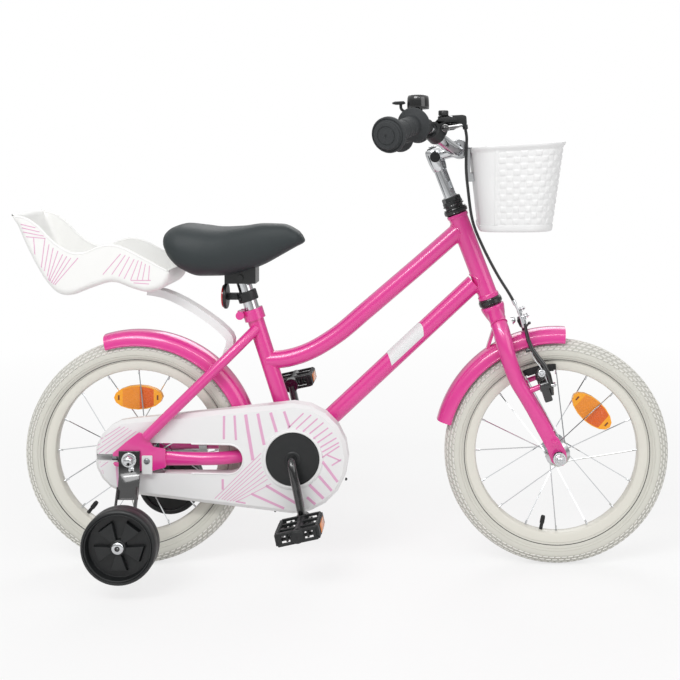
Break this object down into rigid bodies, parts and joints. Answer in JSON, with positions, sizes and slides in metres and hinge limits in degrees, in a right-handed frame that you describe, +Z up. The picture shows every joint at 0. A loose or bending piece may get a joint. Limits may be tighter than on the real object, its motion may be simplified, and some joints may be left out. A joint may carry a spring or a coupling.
{
  "type": "kids bike",
  "caption": "Step-through children's bicycle with stabilisers, full chain case, mudguards, moulded front basket, doll seat, bell and a hand brake; wheels, crank, steering and seat move",
  "frame": {"origin": "ground level under the middle of the overall length, in the plane of the wheels", "axes": "+X forward, +Y to the rider's left, +Z up"},
  "size_m": [1.124, 0.5664, 0.813],
  "materials": {
    "pink_paint": "gloss",
    "white_plastic": "satin",
    "cream_tyre": "matte",
    "cream_rim": "satin",
    "black_plastic": "satin",
    "black_steel": "satin",
    "saddle_cover": "grained synthetic cover",
    "amber_reflector": "prismatic",
    "red_reflector": "prismatic",
    "chrome_plate": "polished",
    "bare_steel": "satin",
    "black_rubber": "matte"
  },
  "bodies": {
    "frame": {"head_tube": "pink_paint", "down_tube": "pink_paint", "top_tube": "pink_paint", "seat_tube_and_shell": "pink_paint", "seat_clamp": "pink_paint", "upper_headset": "black_steel", "lower_headset": "black_steel", "rear_mudguard": "pink_paint", "chain_case": "white_plastic", "chain_case_back": "white_plastic", "chain": "bare_steel", "rear_axle": "chrome_plate", "coaster_brake_arm": "chrome_plate", "doll_seat": "white_plastic", "doll_seat_strut": "white_plastic", "bearing_cup_right": "bare_steel", "bearing_cup_left": "bare_steel", "chain_stay_right": "pink_paint", "chain_stay_left": "pink_paint", "seat_stay_right": "pink_paint", "seat_stay_left": "pink_paint", "stabiliser_bracket_right": "black_steel", "stabiliser_bracket_left": "black_steel"},
    "steering": {"fork": "pink_paint", "front_mudguard": "pink_paint", "front_axle": "chrome_plate", "headset_nut": "black_steel", "brake_cable": "black_rubber"},
    "handlebar": {"stem": "chrome_plate", "handlebar": "chrome_plate", "brake_lever_bracket": "black_plastic", "bell": "black_plastic", "basket": "white_plastic", "basket_bracket": "chrome_plate", "grip_right": "black_rubber", "grip_left": "black_rubber"},
    "brake_lever": {"brake_lever": "black_plastic"},
    "bell_lever": {"bell_lever": "black_plastic"},
    "front_wheel": {"front_tyre": "cream_tyre", "front_rim": "cream_rim", "front_hub_and_spokes": "chrome_plate", "front_wheel_reflector": "amber_reflector"},
    "rear_wheel": {"rear_tyre": "cream_tyre", "rear_rim": "cream_rim", "rear_hub_and_spokes": "chrome_plate", "rear_wheel_reflector": "amber_reflector"},
    "rear_sprocket": {"rear_sprocket": "bare_steel"},
    "crank": {"crank": "black_steel", "crank_disc": "black_plastic", "chainring": "bare_steel"},
    "pedal_right": {"pedal_right": "black_plastic"},
    "pedal_left": {"pedal_left": "black_plastic"},
    "stabiliser_wheel_right": {"stabiliser_wheel_right": "black_rubber"},
    "stabiliser_wheel_left": {"stabiliser_wheel_left": "black_rubber"},
    "brake_arm_right": {"brake_arm_right": "black_plastic"},
    "brake_arm_left": {"brake_arm_left": "black_plastic"},
    "saddle": {"seat_post": "chrome_plate", "saddle": "saddle_cover", "saddle_clamp": "black_plastic", "saddle_reflector": "red_reflector"}
  },
  "joints": [
    {"name": "steering_turn", "type": "hinge", "parent": "frame", "child": "steering", "pos_m": [0.1922, 0, 0.6102], "axis": [-0.3576, 0, 0.9339], "range_deg": [-80, 80]},
    {"name": "handlebar_height", "type": "slide", "parent": "steering", "child": "handlebar", "axis": [-0.3576, 0, 0.9339], "range_m": [0, 0.04], "deforming": ["brake_cable"]},
    {"name": "brake_lever_pull", "type": "hinge", "parent": "handlebar", "child": "brake_lever", "pos_m": [0.17961, -0.10484, 0.764], "axis": [0, 0, -1], "range_deg": [0, 14], "stiffness_Nm_per_rad": 0.4},
    {"name": "brake_arm_right_swing", "type": "hinge", "parent": "steering", "child": "brake_arm_right", "pos_m": [0.3426, -0.04, 0.3185], "axis": [-0.9339, 0, -0.3576], "range_deg": [0, 2.8]},
    {"name": "brake_arm_left_swing", "type": "hinge", "parent": "steering", "child": "brake_arm_left", "pos_m": [0.3426, 0.04, 0.3185], "axis": [0.9339, 0, 0.3576], "range_deg": [0, 2.8]},
    {"name": "bell_lever_push", "type": "hinge", "parent": "handlebar", "child": "bell_lever", "pos_m": [0.1125, -0.136, 0.7848], "axis": [0, 0, 1], "range_deg": [0, 20], "stiffness_Nm_per_rad": 0.05},
    {"name": "front_wheel_spin", "type": "hinge", "parent": "steering", "child": "front_wheel", "pos_m": [0.366, 0, 0.196], "axis": [0, 1, 0], "continuous": true},
    {"name": "rear_wheel_spin", "type": "hinge", "parent": "frame", "child": "rear_wheel", "pos_m": [-0.366, 0, 0.196], "axis": [0, 1, 0], "continuous": true},
    {"name": "crank_spin", "type": "hinge", "parent": "frame", "child": "crank", "pos_m": [-0.08849, 0, 0.1967], "axis": [0, 1, 0], "continuous": true, "deforming": ["chain"]},
    {"name": "rear_sprocket_spin", "type": "hinge", "parent": "frame", "child": "rear_sprocket", "pos_m": [-0.366, 0, 0.196], "axis": [0, 1, 0], "continuous": true, "deforming": ["chain"]},
    {"name": "pedal_right_spin", "type": "hinge", "parent": "crank", "child": "pedal_right", "pos_m": [-0.06793, 0, 0.1016], "axis": [0, 1, 0], "continuous": true},
    {"name": "pedal_left_spin", "type": "hinge", "parent": "crank", "child": "pedal_left", "pos_m": [-0.10905, 0, 0.2918], "axis": [0, 1, 0], "continuous": true},
    {"name": "stabiliser_wheel_right_spin", "type": "hinge", "parent": "frame", "child": "stabiliser_wheel_right", "pos_m": [-0.35, 0, 0.0905], "axis": [0, 1, 0], "continuous": true},
    {"name": "stabiliser_wheel_left_spin", "type": "hinge", "parent": "frame", "child": "stabiliser_wheel_left", "pos_m": [-0.35, 0, 0.0905], "axis": [0, 1, 0], "continuous": true},
    {"name": "seat_height", "type": "slide", "parent": "frame", "child": "saddle", "axis": [-0.3041, 0, 0.9526], "range_m": [0, 0.06]}
  ],
  "couplings": [
    {"joint": "rear_sprocket_spin", "follows": "crank_spin", "ratio": 2},
    {"joint": "brake_arm_right_swing", "follows": "brake_lever_pull", "ratio": 0.2},
    {"joint": "brake_arm_left_swing", "follows": "brake_lever_pull", "ratio": 0.2}
  ]
}
